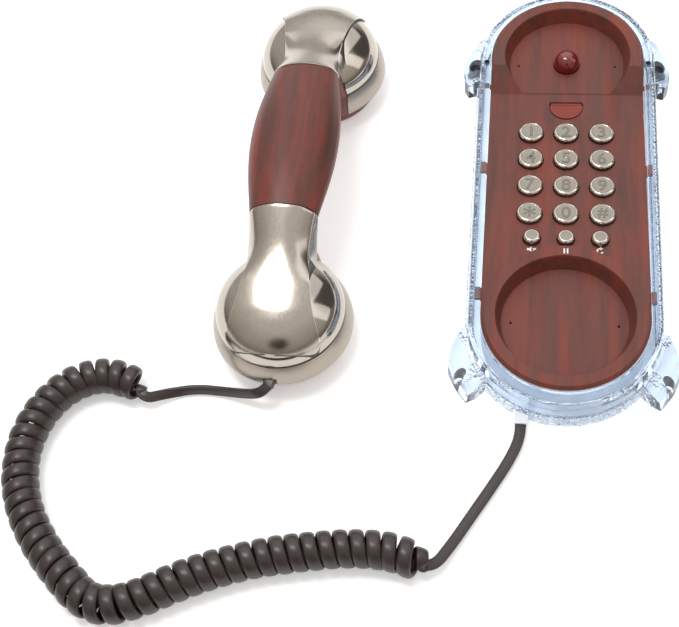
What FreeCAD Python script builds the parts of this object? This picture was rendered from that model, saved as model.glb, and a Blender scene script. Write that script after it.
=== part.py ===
import FreeCAD, Part
import math, os

# Corded landline telephone, slim wall or table model. Millimetres, +Z up.
# Origin: centre of the base's footprint on the table; +Y points to the ear end.

V = FreeCAD.Vector
os.makedirs("parts", exist_ok=True)

# ---------------------------------------------------------------- dimensions
S2 = 76.5            # half the spacing of the two cradle cups
Z_RIM = 23.0         # cradle rim above the table
Z_FLOOR = 15.0       # cup floors
Z_LEDGE = 21.0       # top of the clear rim
R_RIM = 31.4         # cup radius at the rim
R_FLR = 28.6         # cup radius at the floor
R_CREST = 36.4       # outer edge of the flat rim
R_PANEL = 37.9       # outline of the face panel
R_WALL = 35.6        # inner side of the panel's wall
SKIN = 2.2           # panel wall thickness
Z_COVER0, Z_COVER1 = 1.2, 3.2
PITCH = 17.0         # key pitch both ways
R_KEY = 6.0
R_KEYHOLE = 6.35
R_SKEY = 4.0
R_SKEYHOLE = 4.35
KEY_UP = 2.4         # key top above the panel
KEY_TRAVEL = 1.2
SKEY_X = 15.7
RAMP = 3.6           # slope of the keypad, degrees, rising to the front
RAMP_Y0, RAMP_Z0 = 30.41, 16.26   # point of the keypad plane in the first row
R_HOOK = 6.3
HOOK_TRAVEL = 5.0
HC = (-127.5, -3.1)  # handset centre on the table
HYAW = -1.04         # handset turned about Z, degrees
SEAM = 23.0          # seam between dome and skirt
R_DOME, C_DOME = 30.0, 20.0
R_CAP = 28.0
Z_SKIRT = 11.5
D_LEAD = 4.0         # equivalent round of the flat lead
D_COIL = 16.0        # outer diameter of the curly part

ca, sa = math.cos(math.radians(RAMP)), math.sin(math.radians(RAMP))

def save(shape, name):
    if shape.ShapeType == "Compound" and len(shape.Solids) == 1:
        shape = shape.Solids[0]
    shape.exportStep("parts/%s.step" % name)
    bb = shape.BoundBox
    print("%-24s solids %d valid %s vol %9.1f  [%.1f %.1f %.1f] [%.1f %.1f %.1f]" % (
        name, len(shape.Solids), shape.isValid(), shape.Volume,
        bb.XMin, bb.YMin, bb.ZMin, bb.XMax, bb.YMax, bb.ZMax))

def cyl(r, z0, z1, x=0, y=0):
    return Part.makeCylinder(r, z1 - z0, V(x, y, z0))

def box(x0, x1, y0, y1, z0, z1):
    return Part.makeBox(x1 - x0, y1 - y0, z1 - z0, V(x0, y0, z0))

def poly_prism(pts, z0, z1):
    w = Part.makePolygon([V(x, y, z0) for x, y in pts] + [V(pts[0][0], pts[0][1], z0)])
    return Part.Face(w).extrude(V(0, 0, z1 - z0))

def revolve(pts, x=0, y=0):
    w = Part.makePolygon([V(x + r, y, z) for r, z in pts] + [V(x + pts[0][0], y, pts[0][1])])
    return Part.Face(w).revolve(V(x, y, 0), V(0, 0, 1), 360)

def stadium(pts, yc=S2):
    """Solid whose section (radius, height) runs round a stadium outline."""
    a = revolve(pts, 0, yc)
    b = revolve(pts, 0, -yc)
    full = [(r, z) for r, z in pts] + [(-r, z) for r, z in reversed(pts) if r > 0]
    w = Part.makePolygon([V(x, -yc, z) for x, z in full] + [V(full[0][0], -yc, full[0][1])])
    m = Part.Face(w).extrude(V(0, 2 * yc, 0))
    return a.fuse([b, m]).removeSplitter()

def ramp_place(shape, y, h=0.0, x=0.0):
    """Put a shape drawn about the origin with +Z up on the keypad plane."""
    d = (RAMP_Y0 - y) / ca
    z = RAMP_Z0 + d * sa
    s = shape.copy()
    m = FreeCAD.Placement(V(x, y + h * sa, z + h * ca), FreeCAD.Rotation(V(1, 0, 0), -RAMP))
    s.Placement = m.multiply(s.Placement)
    return s

def ramp_z(y):
    return RAMP_Z0 + (RAMP_Y0 - y) * math.tan(math.radians(RAMP))

def halfspace_above_ramp(h, y0=-140, y1=140, top=60):
    b = Part.makeBox(200, (y1 - y0), top, V(-100, y0 - RAMP_Y0, h))
    return ramp_place(b, RAMP_Y0)

ROWS = [30.41, 13.51, -3.39, -20.29]
ROW_S = -34.67
KEYS = [("key_1", -1, 0), ("key_2", 0, 0), ("key_3", 1, 0),
        ("key_4", -1, 1), ("key_5", 0, 1), ("key_6", 1, 1),
        ("key_7", -1, 2), ("key_8", 0, 2), ("key_9", 1, 2),
        ("key_star", -1, 3), ("key_0", 0, 3), ("key_hash", 1, 3)]
SKEYS = [("key_mute", -1), ("key_pause", 0), ("key_redial", 1)]
TAB_Y, TAB_R = 49.2, 8.1
COVER_SCREWS = [(-20, -92), (20, -92), (-20, 92), (20, 92)]
BOARD_SCREWS = [(-30.5, 33.0), (30.5, 33.0), (-30.5, -28.0), (30.5, -28.0)]
SLOT_X = -18.3       # where the lead leaves the base

# ---------------------------------------------------------------- face panel
def make_panel():
    p = stadium([(0, Z_COVER1), (R_PANEL, Z_COVER1), (R_PANEL, Z_LEDGE + 0.4),
                 (R_CREST, Z_RIM), (0, Z_RIM)])
    # snap tabs that hold the panel under the clear rim
    tabs = [box(sx * 39.2 - 1.7, sx * 39.2 + 1.7, y - 3.0, y + 3.0, 15.8, 17.7) for sx in (-1, 1) for y in (-64.0, 8.0, 58.0)]
    p = p.fuse(tabs)
    # keypad ramp: everything above it goes, except the collar of the lower cup
    cutter = halfspace_above_ramp(0.0, -140, 140, 60)
    reg = box(-60, 60, -S2, 64.5, 0, 60)
    # the upper rim falls to the ramp on a slope, higher in the middle of each rail
    wedge = Part.Face(Part.makePolygon([V(-60, 57.0, Z_FLOOR - 0.5), V(-60, 69.5, Z_RIM + 0.2),
                                        V(-60, 69.5, 60), V(-60, 57.0, 60),
                                        V(-60, 57.0, Z_FLOOR - 0.5)])).extrude(V(120, 0, 0))
    reg = box(-60, 60, -S2, 57.0, 0, 60).fuse(wedge)
    cutter = cutter.common(reg)
    collar = revolve([(0, 0), (R_CREST + 1.6, 0), (R_CREST + 1.6, 17.5), (R_CREST + 0.2, 21.5), (R_CREST - 0.4, 60), (0, 60)], 0, -S2)
    cutter = cutter.cut(collar)
    low = box(-60, 60, 40, 69.5, Z_FLOOR, 60).common(reg)
    p = p.cut(cutter.fuse(low))
    # cups
    for y in (S2, -S2):
        p = p.cut(revolve([(0, Z_FLOOR), (R_FLR, Z_FLOOR), (R_RIM - 0.4, Z_RIM - 0.7), (R_RIM, Z_RIM), (R_RIM, 60), (0, 60)], 0, y))
    # inside: hollow under the floors and under the ramp
    hol = stadium([(0, 0), (R_WALL, 0), (R_WALL, Z_FLOOR - SKIN), (0, Z_FLOOR - SKIN)])
    under = halfspace_above_ramp(-60.0 - SKIN, -140, 140, 60)
    under = under.common(box(-R_WALL, R_WALL, -S2 + 34.2, 44.0, 5, 30))
    under = under.cut(cyl(34.0, 0, 60, 0, -S2))
    p = p.cut(hol.fuse(under))
    # holes
    for n, i, j in KEYS:
        p = p.cut(ramp_place(cyl(R_KEYHOLE, -8, 8), ROWS[j], 0, i * PITCH))
    for n, i in SKEYS:
        p = p.cut(ramp_place(cyl(R_SKEYHOLE, -8, 8), ROW_S, 0, i * SKEY_X))
    p = p.cut(cyl(R_HOOK + 0.35, 5, 30, 0, S2))
    for sx in (-1, 1):
        for y in (S2 - 1, -S2 - 1):
            p = p.cut(cyl(0.6, 10, 30, sx * 24.2, y))
    # well of the hanging tab, 2 mm deep pocket with a floor under it
    p = p.fuse(ramp_place(cyl(TAB_R + 2.2, -4.2, -1.2), TAB_Y))
    well = cyl(TAB_R + 0.35, -2.3, 8).fuse(box(-TAB_R - 0.35, TAB_R + 0.35, 0, 3.6, -2.3, 8).common(cyl(TAB_R + 0.35, -3, 8)))
    half = box(-20, 20, -20, 2.75, -3, 9)
    p = p.cut(ramp_place(well.common(half), TAB_Y))
    # opening for the line jack at the far end
    p = p.cut(box(-7.3, 7.3, S2 + 26, S2 + 60, 2, 14.6))
    p = p.cut(box(SLOT_X - 3.2, SLOT_X + 3.2, -S2 - 60, -S2 - 20, 2, 6.0))
    return p.removeSplitter()

panel = make_panel()
save(panel, "face_panel")

# ---------------------------------------------------------------- clear housing
EAR_LOW = [(-41.0, -79.0), (-46.5, -79.5), (-50.6, -88.5), (-52.2, -98.5), (-50.2, -107.5),
           (-45.2, -113.0), (-39.2, -110.0), (-33.5, -104.5)]
EAR_UP = [(-41.0, 97.5), (-45.6, 95.0), (-50.2, 86.0), (-52.4, 76.5), (-51.6, 69.5),
          (-49.4, 65.8), (-44.6, 67.2), (-41.0, 69.0)]
HOLE_LOW, HOLE_UP = (46.4, -102.0), (46.4, 78.0)
R_SCREW = 2.6        # screw holes of the ears
EAR_H = 12.6

def make_housing():
    outer = stadium([(0, 0.8), (45.2, 0.8), (45.2, 6.4), (44.5, 7.1), (44.2, 15.0),
                     (43.6, 19.4), (42.9, 20.7), (42.2, 21.0), (0, 21.0)])
    for pts, cy in ((EAR_LOW, -S2), (EAR_UP, S2)):
        env = revolve([(0, 0.8), (56, 0.8), (54.6, 7.0), (51.5, 10.2), (45.5, EAR_H), (0, EAR_H + 0.5)], 0, cy)
        for sgn in (-1, 1):
            q = [(x if sgn < 0 else -x, y) for x, y in pts]
            if sgn > 0:
                q = q[::-1]
            outer = outer.fuse(poly_prism(q, 0.8, EAR_H + 2).common(env))
    inner = stadium([(0, 0), (43.0, 0), (43.0, 6.2), (41.5, 6.2), (41.5, 17.8), (38.3, 17.8),
                     (38.3, 20.6), (38.8, 22), (0, 22)])
    h = outer.cut(inner)
    for (hx, hy) in (HOLE_LOW, HOLE_UP):
        for sgn in (-1, 1):
            h = h.cut(cyl(R_SCREW, 0, 20, sgn * hx, hy))
            h = h.cut(Part.makeCone(R_SCREW, R_SCREW + 1.3, 1.3, V(sgn * hx, hy, 10.2)))
            h = h.cut(cyl(R_SCREW + 1.3, 11.5, 20, sgn * hx, hy))
    for sgn in (-1, 1):
        h = h.cut(cyl(1.35, 18.5, 24, sgn * 40.3, 73.0))
    h = h.cut(box(-7.3, 7.3, S2 + 36, S2 + 60, 2.9, 14.6))
    h = h.cut(box(SLOT_X - 3.3, SLOT_X + 3.3, -S2 - 60, -S2 - 36, 0, 5.2))
    return h.removeSplitter()

housing = make_housing()
save(housing, "clear_housing")

# serrated trim seen through the foot of the housing
bead = stadium([(0, Z_COVER1), (42.7, Z_COVER1), (42.7, 6.2), (0, 6.2)]).cut(
    stadium([(0, 0), (41.0, 0), (41.0, 10), (0, 10)]))
bead = bead.cut(box(SLOT_X - 3.6, SLOT_X + 3.6, -S2 - 60, -S2 - 30, 0, 10))
bead = bead.cut(box(-7.6, 7.6, S2 + 30, S2 + 60, 0, 10))
save(bead, "bead_trim")

cover = stadium([(0, Z_COVER0), (42.6, Z_COVER0), (42.6, Z_COVER1), (0, Z_COVER1)])
for x, y in COVER_SCREWS:
    cover = cover.cut(cyl(1.75, 0, 5, x, y))
cover = cover.cut(box(SLOT_X - 3.3, SLOT_X + 3.3, -S2 - 60, -S2 - 31, 0, 5))
save(cover, "bottom_cover")

save(Part.makeCompound([cyl(1.4, Z_COVER0, Z_FLOOR - SKIN, x, y).fuse(cyl(2.7, 0.5, Z_COVER0, x, y)).removeSplitter()
                        for x, y in COVER_SCREWS]), "cover_screws")
save(Part.makeCompound([cyl(5.5, 0, Z_COVER0, sx * 27, sy * 64) for sx in (-1, 1) for sy in (-1, 1)]
                       + [cyl(5.5, 0, Z_COVER0)]), "rubber_feet")
save(box(-23, 23, -64, -40, Z_COVER1, Z_COVER1 + 3.0), "ballast_plate")

# ---------------------------------------------------------------- electronics
board = Part.makeBox(66, 73.5, 1.6, V(-33, -38.5 - RAMP_Y0 + 0.0, -7.2))
board = ramp_place(board, RAMP_Y0)
mem = Part.makeBox(56, 71.0, 0.7, V(-28, -38.0 - RAMP_Y0, -5.6))
mem = ramp_place(mem, RAMP_Y0)
for x, y in BOARD_SCREWS:
    board = board.cut(ramp_place(cyl(1.55, -9, -3), y, 0, x))
save(mem, "keypad_membrane")
save(board, "keypad_board")
save(Part.makeCompound([ramp_place(cyl(1.2, -7.2, -SKIN).fuse(cyl(2.3, -8.3, -7.2)).removeSplitter(), y, 0, x)
                        for x, y in BOARD_SCREWS]), "board_screws")
save(cyl(12.0, Z_COVER1, Z_COVER1 + 1.4, 0, 8.0).fuse(cyl(9.0, Z_COVER1 + 1.4, Z_COVER1 + 1.8, 0, 8.0)).removeSplitter(), "ringer_disc")
hs = box(-6, 6, S2 - 4, S2 + 4, Z_COVER1, 5.4).fuse(cyl(1.2, 5.4, 6.0, 0, S2)).removeSplitter()
save(hs, "hook_switch")

jack = box(-7.0, 7.0, S2 + 26.2, S2 + 43.2, Z_COVER1, 14.2)
jack = jack.cut(box(-5.0, 5.0, S2 + 31, S2 + 50, 5.0, 12.4)).cut(box(-2.0, 2.0, S2 + 31, S2 + 50, 3.9, 5.0))
save(jack.removeSplitter(), "line_jack")
contacts = Part.makeCompound([box(x - 0.25, x + 0.25, S2 + 31, S2 + 39, 11.6, 12.4) for x in (-1.5, -0.5, 0.5, 1.5)])
save(contacts, "jack_contacts")

# grommet where the lead leaves the base
GY = -122.6
gr = box(SLOT_X - 3.0, SLOT_X + 3.0, -119.6, -107.5, 0.9, 4.9)
gr = gr.fuse(Part.makeLoft([Part.makePolygon([V(SLOT_X - 3.0, -119.6, 0.3), V(SLOT_X + 3.0, -119.6, 0.3), V(SLOT_X + 3.0, -119.6, 4.9), V(SLOT_X - 3.0, -119.6, 4.9), V(SLOT_X - 3.0, -119.6, 0.3)]),
                            Part.makePolygon([V(SLOT_X - 2.7, GY, 0.1), V(SLOT_X + 2.7, GY, 0.1), V(SLOT_X + 2.7, GY, 4.3), V(SLOT_X - 2.7, GY, 4.3), V(SLOT_X - 2.7, GY, 0.1)])], True))
save(gr.removeSplitter(), "base_grommet")

# ---------------------------------------------------------------- keys
def key_solid(r, up, flange):
    b = revolve([(0, -3.4), (flange, -3.4), (flange, -2.6), (r, -2.6), (r, up - 0.9), (r - 0.35, up - 0.35),
                 (r - 1.0, up - 0.05), (r - 1.25, up - 0.25), (0, up - 0.05)])
    return b

for n, i, j in KEYS:
    save(ramp_place(key_solid(R_KEY, KEY_UP, 7.1), ROWS[j], 0, i * PITCH), n)
for n, i in SKEYS:
    k = revolve([(0, -3.4), (5.0, -3.4), (5.0, -2.6), (R_SKEY, -2.6), (R_SKEY, 1.7), (R_SKEY - 0.8, 2.9), (0, 3.0)])
    save(ramp_place(k, ROW_S, 0, i * SKEY_X), n)

# hook plunger: dome on a stem with a retaining flange
pl = cyl(7.6, 11.3, 12.4).fuse([cyl(R_HOOK, 12.4, Z_RIM - R_HOOK), Part.makeSphere(R_HOOK, V(0, 0, Z_RIM - R_HOOK), V(0, 0, 1), 0, 90, 360)]).removeSplitter()
pl.translate(V(0, S2, 0))
save(pl, "hook_plunger")

# hanging tab: half disc with a hinge barrel along its straight edge
tab = cyl(TAB_R, -1.9, -0.05).common(box(-20, 20, -20, 0.55, -3, 3))
tab = tab.fuse(box(-TAB_R + 0.5, TAB_R - 0.5, 0.0, 1.5, -1.6, -0.6))
bar = Part.makeCylinder(0.92, 2 * (TAB_R - 0.5), V(-TAB_R + 0.5, 1.6, -0.98), V(1, 0, 0))
tab = ramp_place(tab.fuse(bar).removeSplitter(), TAB_Y)
save(tab, "hang_tab")
hp = ramp_place(cyl(0.01, 0, 1), TAB_Y, 0)
axis_pt = ramp_place(Part.makeBox(0.001, 0.001, 0.001, V(0, 1.6, -0.98)), TAB_Y).BoundBox
print("hang_tab axis", axis_pt.XMin, axis_pt.YMin, axis_pt.ZMin)

# ---------------------------------------------------------------- handset
def hplace(s, end=0):
    s = s.copy()
    if end < 0:
        s = s.mirror(V(0, 0, 0), V(0, 1, 0))
    m = FreeCAD.Placement(V(HC[0], HC[1], 0), FreeCAD.Rotation(V(0, 0, 1), HYAW))
    s.Placement = m.multiply(s.Placement)
    return s

def ell(w, h, zc, s):
    """Ellipse across the handset at station s."""
    if w >= h:
        e = Part.Ellipse(V(w, s, zc), V(0, s, zc + h), V(0, s, zc))
    else:
        e = Part.Ellipse(V(0, s, zc + h), V(w, s, zc), V(0, s, zc))
    return Part.Wire(e.toShape())

def spheroid(a, c, y, z):
    s = Part.makeSphere(a)
    m = FreeCAD.Matrix()
    m.scale(1, 1, c / a)
    s = s.transformGeometry(m)
    s.translate(V(0, y, z))
    return s

GRIP = [(-41.0, 15.9, 9.1, 48.6), (-30.0, 17.9, 10.9, 49.2), (-15.0, 20.1, 12.8, 49.8), (0.0, 20.9, 13.6, 50.0),
        (15.0, 20.1, 12.8, 49.8), (30.0, 17.9, 10.9, 49.2), (41.0, 15.9, 9.1, 48.6)]
grip = Part.makeLoft([ell(w, h, z, s) for s, w, h, z in GRIP], True, False)
grip_in = Part.makeLoft([ell(w - 3.0, h - 3.0, z, s) for s, w, h, z in GRIP], True, False)
grip_in = grip_in.common(box(-40, 40, -38, 38, 0, 90))
R_CORE = 4.5
grip = grip.cut(grip_in).cut(Part.makeCylinder(R_CORE + 0.05, 100, V(0, -50, 48.6), V(0, 1, 0)))
save(hplace(grip), "grip_sleeve")
core = Part.makeCylinder(R_CORE, 96, V(0, -48, 48.6), V(0, 1, 0)).cut(Part.makeCylinder(3.0, 100, V(0, -50, 48.6), V(0, 1, 0)))
save(hplace(core), "grip_core")

NECK = [(41.5, 16.0, 9.3, 48.6), (49.0, 15.3, 10.5, 46.0), (57.0, 15.2, 11.3, 42.2), (65.0, 15.4, 11.8, 38.0), (74.0, 16.2, 12.2, 33.0), (82.0, 16.6, 12.4, 28.6)]
W_WEB = 16.5         # half width of the web that closes the grip side
def neck_solid():
    return Part.makeLoft([ell(w, h, z, s) for s, w, h, z in NECK], True, False)

def web_zone(w, ri, ro, z0=SEAM):
    """Wall round the grip side of an end, narrowing upward."""
    ring = cyl(ro, z0, 39.0, 0, S2).cut(cyl(ri, 0, 60, 0, S2))
    f = Part.Face(Part.makePolygon([V(-w, 30, z0), V(w, 30, z0), V(w - 2.6, 30, 39.0), V(-w + 2.6, 30, 39.0), V(-w, 30, z0)]))
    return ring.common(f.extrude(V(0, 32, 0)))

def make_shell():
    dome = spheroid(R_DOME, C_DOME, S2, SEAM).cut(web_zone(W_WEB + 0.4, 27.5, 40))
    neck = neck_solid()
    out = [(13.9, 57), (14.7, 66), (16.0, 76), (17.9, 86), (20.2, 92), (22.0, 95.5)]
    arc = []
    for k in range(0, 13):
        t = math.radians(90 - 15 * k)
        arc.append((21.6 * math.sin(t), 96.0 + 8.4 * math.cos(t)))
    pts = out + [p for p in arc if abs(p[0]) < 21.5] + [(-u, s) for u, s in reversed(out)]
    strap = spheroid(R_DOME + 0.25, C_DOME + 0.9, S2, SEAM).common(poly_prism(pts, SEAM, 70))
    body = dome.fuse([neck, strap]).common(box(-60, 60, 40, 120, SEAM, 90))
    cav = spheroid(R_DOME - 2.6, C_DOME - 2.4, S2, SEAM).common(box(-60, 60, 45, 120, SEAM - 1, SEAM + 30))
    cav = cav.cut(box(-60, 60, 40, 50.5, 0, 90))
    body = body.cut(cav)
    body = body.cut(Part.makeCylinder(R_CORE + 0.05, 10, V(0, 39, 48.6), V(0, 1, 0)))
    return body.removeSplitter()

shell = make_shell()
save(hplace(shell, 1), "ear_shell")
save(hplace(shell, -1), "mouth_shell")
web = web_zone(W_WEB, 27.7, R_DOME + 0.3, SEAM).cut(neck_solid())
web = sorted(web.Solids, key=lambda q: -q.Volume)[0]
save(hplace(web, 1), "ear_neck_web")
save(hplace(web, -1), "mouth_neck_web")

def skirt_solid(dr=0.0):
    e = [Part.LineSegment(V(27.0, S2, Z_SKIRT), V(32.5 + dr, S2, Z_SKIRT)), Part.LineSegment(V(32.5 + dr, S2, Z_SKIRT), V(32.9 + dr, S2, 12.4)),
         Part.Arc(V(32.9 + dr, S2, 12.4), V(32.25 + dr, S2, 17.2), V(30.3 + dr, S2, 22.6)),
         Part.LineSegment(V(30.3 + dr, S2, 22.6), V(27.0, S2, 22.6)), Part.LineSegment(V(27.0, S2, 22.6), V(27.0, S2, Z_SKIRT))]
    return Part.Face(Part.Wire([q.toShape() for q in e])).revolve(V(0, S2, 0), V(0, 0, 1), 360)

skirt = skirt_solid()
gap = box(-W_WEB - 0.4, W_WEB + 0.4, S2 - 45, S2 - 15, 0, 40)
ear_skirt = skirt.cut(gap).removeSplitter()
notch = box(-1.6 - 3.3, -1.6 + 3.3, S2 + 20, S2 + 45, 0, 16.4)
mouth_skirt = skirt.cut(gap).cut(notch).removeSplitter()
save(hplace(ear_skirt, 1), "ear_skirt")
# the mouth end is the mirror image, so its notch is cut at +1.6 before mirroring about Y only
save(hplace(mouth_skirt, -1), "mouth_skirt")

def make_cap(holes, ch):
    c = revolve([(0, 0), (24.6, 0), (26.8, 0.9), (R_CAP, 3.2), (R_CAP, Z_SKIRT), (26.6, Z_SKIRT), (26.6, SEAM), (0, SEAM)], 0, S2)
    # grip-side web that closes the gap of the skirt
    web = box(-W_WEB, W_WEB, S2 - 34.0, S2 - 20, Z_SKIRT, SEAM)
    web = web.common(revolve([(0, 0), (32.3, 0), (32.3, 13), (31.7, 17.2), (30.0, 22.2), (30.0, SEAM), (0, SEAM)], 0, S2))
    c = c.fuse(web)
    c = c.cut(cyl(23.5, 5.6, 40, 0, S2))
    # dished face
    dish = Part.makeSphere(85.0)
    dish.translate(V(0, S2, 3.4 - 85.0))
    c = c.cut(dish)
    for hx, hy, hr in holes:
        c = c.cut(cyl(hr, -2, 8, hx, S2 + hy))
    if ch:
        c = c.cut(box(-1.6 - 2.5, -1.6 + 2.5, S2 + 20, S2 + 40, Z_SKIRT + 0.2, 16.2))
    return c.removeSplitter()

ear_holes = [(0, 0, 1.0)] + [(6 * math.cos(math.radians(60 * k)), 6 * math.sin(math.radians(60 * k)), 1.0) for k in range(6)] + \
            [(11.5 * math.cos(math.radians(30 * k + 15)), 11.5 * math.sin(math.radians(30 * k + 15)), 1.0) for k in range(12)]
mic_holes = [(0, 0, 0.9)] + [(3.4 * math.cos(math.radians(60 * k)), 3.4 * math.sin(math.radians(60 * k)), 0.9) for k in range(6)]
save(hplace(make_cap(ear_holes, False), 1), "ear_cap")
save(hplace(make_cap(mic_holes, True), -1), "mouth_cap")

save(hplace(cyl(18.0, 5.6, 8.6, 0, S2).fuse(cyl(10.0, 8.6, 14.0, 0, S2)).removeSplitter(), 1), "receiver_capsule")
save(hplace(cyl(4.9, 5.6, 11.6, 0, S2), -1), "microphone_capsule")
ws = box(-11, 11, 10, 20, 5.6, 14.0)
ws.translate(V(0, S2 - 4, 0))
save(hplace(ws, -1), "mouth_weight")
hscr = [cyl(1.3, 5.6, 12.0, sx * 20.5, S2 - 2).fuse(cyl(2.4, 12.0, 13.5, sx * 20.5, S2 - 2)).removeSplitter() for sx in (-1, 1)]
save(Part.makeCompound([hplace(q, e) for q in hscr for e in (1, -1)]), "handset_screws")
relief = hplace(box(-1.6 - 2.2, -1.6 + 2.2, S2 + 23.5, S2 + 31.6, Z_SKIRT + 0.4, 16.0), -1)
# ---------------------------------------------------------------- cord
def tube(points, d, name, rmin=0.0):
    """Straight runs joined by tangent arcs, swept with a circle."""
    P = [V(*p) for p in points]
    edges, radii = [], []
    cur = P[0]
    for i in range(1, len(P) - 1):
        a = P[i - 1] - P[i]
        b = P[i + 1] - P[i]
        la, lb = a.Length, b.Length
        a.normalize(); b.normalize()
        turn = math.pi - a.getAngle(b)
        r = 0.45 * min(la, lb) / math.tan(turn / 2)
        t = 0.45 * min(la, lb)
        q0 = P[i] + a * t
        q1 = P[i] + b * t
        bis = a + b
        bis.normalize()
        c = P[i] + bis * (r / math.cos(turn / 2))
        mid = c - bis * r
        edges.append(Part.LineSegment(cur, q0).toShape())
        edges.append(Part.Arc(q0, mid, q1).toShape())
        radii.append(r)
        cur = q1
    edges.append(Part.LineSegment(cur, P[-1]).toShape())
    w = Part.Wire(edges)
    t0 = (P[1] - P[0])
    circ = Part.Wire(Part.Circle(P[0], t0, d / 2.0).toShape())
    s = w.makePipeShell([circ], True, False)
    L = w.Length
    print("%s length %.1f radii min %.1f (%.1f d) all %s vol %.0f expected %.0f" % (
        name, L, min(radii), min(radii) / d, ["%.0f" % r for r in radii], s.Volume, L * math.pi * d * d / 4))
    return s

hr = math.radians(HYAW)
def hpt(u, s, z):
    return (HC[0] + u * math.cos(hr) - s * math.sin(hr), HC[1] + u * math.sin(hr) + s * math.cos(hr), z)

EX = hpt(-2.3, -(S2 + 34.0), 13.4)
LEAD_H = [EX, (EX[0] - 2.11, EX[1] - 2.45, 12.4), (-137.7, -116.5, 10.1), (-142.9, -115.2, 7.2), (-150.2, -113.3, 4.2), (-159.0, -111.8, 2.5),
          (-168.0, -111.8, 2.2), (-176.4, -113.4, 2.7), (-183.6, -116.3, 4.3), (-189.6, -120.2, 6.5)]
COIL = [(-187.4, -122.4), (-196.6, -111.8), (-211.0, -108.3), (-226.0, -114.2), (-236.5, -127.5), (-241.2, -144.0),
        (-240.2, -161.0), (-234.2, -177.5), (-223.5, -193.0), (-211.0, -205.5), (-198.6, -216.6), (-187.0, -218.0),
        (-174.5, -213.4), (-160.0, -205.2), (-143.5, -198.2), (-125.5, -192.6), (-107.0, -189.0), (-88.5, -186.3),
        (-72.0, -186.4), (-60.5, -190.2), (-52.5, -197.0)]
LEAD_B = [(SLOT_X, GY, 2.2), (SLOT_X, -128.6, 2.2), (-22.6, -139.6, 2.2), (-29.9, -152.7, 2.2), (-38.6, -167.5, 2.2), (-46.0, -180.5, 2.8),
          (-51.5, -192.0, 5.0)]
# soft nose of the strain relief, bent toward the lead
d0 = V(LEAD_H[1][0] - EX[0], LEAD_H[1][1] - EX[1], LEAD_H[1][2] - EX[2])
d0.normalize()
side = d0.cross(V(0, 0, 1))
side.normalize()
up = side.cross(d0)
fa = [hpt(u, -(S2 + 31.6), z) for u, z in ((-3.8, 11.9), (0.6, 11.9), (0.6, 16.0), (-3.8, 16.0))]
fb = [V(*EX) + side * a + up * b for a, b in ((2.1, -2.05), (-2.1, -2.05), (-2.1, 2.05), (2.1, 2.05))]
fa = [V(*p) for p in fa]
nose = Part.makeLoft([Part.makePolygon(fa + [fa[0]]), Part.makePolygon(fb + [fb[0]])], True)
relief = relief.fuse(nose)
save(relief, "handset_strain_relief")
save(tube([(x, y, D_COIL / 2) for x, y in COIL], D_COIL, "cord_coil"), "cord_coil")
save(tube(LEAD_H, D_LEAD, "cord_lead_handset"), "cord_lead_handset")
save(tube(LEAD_B, D_LEAD, "cord_lead_base"), "cord_lead_base")
print("EX", EX)
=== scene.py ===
import bpy, bmesh, math, random
from mathutils import Vector, Matrix, Euler


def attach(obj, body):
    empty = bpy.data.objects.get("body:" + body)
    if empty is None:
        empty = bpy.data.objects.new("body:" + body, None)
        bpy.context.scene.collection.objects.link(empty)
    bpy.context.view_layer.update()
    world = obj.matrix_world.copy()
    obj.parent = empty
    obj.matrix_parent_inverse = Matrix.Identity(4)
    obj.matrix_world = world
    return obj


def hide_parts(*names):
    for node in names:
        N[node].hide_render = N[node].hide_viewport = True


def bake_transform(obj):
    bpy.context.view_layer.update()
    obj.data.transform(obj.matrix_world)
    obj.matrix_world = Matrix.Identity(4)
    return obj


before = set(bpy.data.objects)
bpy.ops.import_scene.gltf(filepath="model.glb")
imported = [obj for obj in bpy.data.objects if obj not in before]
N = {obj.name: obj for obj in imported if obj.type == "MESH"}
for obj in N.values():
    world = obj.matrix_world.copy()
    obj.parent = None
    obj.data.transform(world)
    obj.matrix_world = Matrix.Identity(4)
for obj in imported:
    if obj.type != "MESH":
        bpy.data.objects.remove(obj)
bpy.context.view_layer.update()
MM = 0.001
S2 = 76.5
HC = (-127.5, -3.1)
HYAW = math.radians(-1.04)
SEAM = 23.0
RAMP = math.radians(3.6)
RAMP_Y0, RAMP_Z0 = 30.41, 16.26
ca, sa = math.cos(RAMP), math.sin(RAMP)

# ------------------------------------------------------------------ camera
cam_data = bpy.data.cameras.new("camera")
cam_data.sensor_fit = "HORIZONTAL"
cam_data.sensor_width = 36.0
cam_data.lens = 68.156
cam = bpy.data.objects.new("camera", cam_data)
bpy.context.scene.collection.objects.link(cam)
cam.location = (-0.02572, -0.37485, 0.52362)
cam.rotation_euler = (math.radians(30.854), math.radians(5.418), math.radians(5.456))
bpy.context.scene.camera = cam

# ------------------------------------------------------------------ node helpers
def mat(name):
    m = bpy.data.materials.new(name)
    m.use_nodes = True
    nt = m.node_tree
    b = nt.nodes.get("Principled BSDF")
    return m, nt, b

def nd(nt, kind, **kw):
    n = nt.nodes.new(kind)
    for k, v in kw.items():
        setattr(n, k, v)
    return n

def ramp(nt, stops, interp="LINEAR"):
    r = nd(nt, "ShaderNodeValToRGB")
    r.color_ramp.interpolation = interp
    e = r.color_ramp.elements
    while len(e) > 1:
        e.remove(e[-1])
    e[0].position = stops[0][0]
    e[0].color = (*stops[0][1], 1)
    for p, c in stops[1:]:
        x = e.new(p)
        x.color = (*c, 1)
    return r

def coords(nt, scale=(1, 1, 1), rot=(0, 0, 0)):
    t = nd(nt, "ShaderNodeTexCoord")
    m = nd(nt, "ShaderNodeMapping")
    m.inputs["Scale"].default_value = scale
    m.inputs["Rotation"].default_value = rot
    nt.links.new(t.outputs["Object"], m.inputs["Vector"])
    return m

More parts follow.
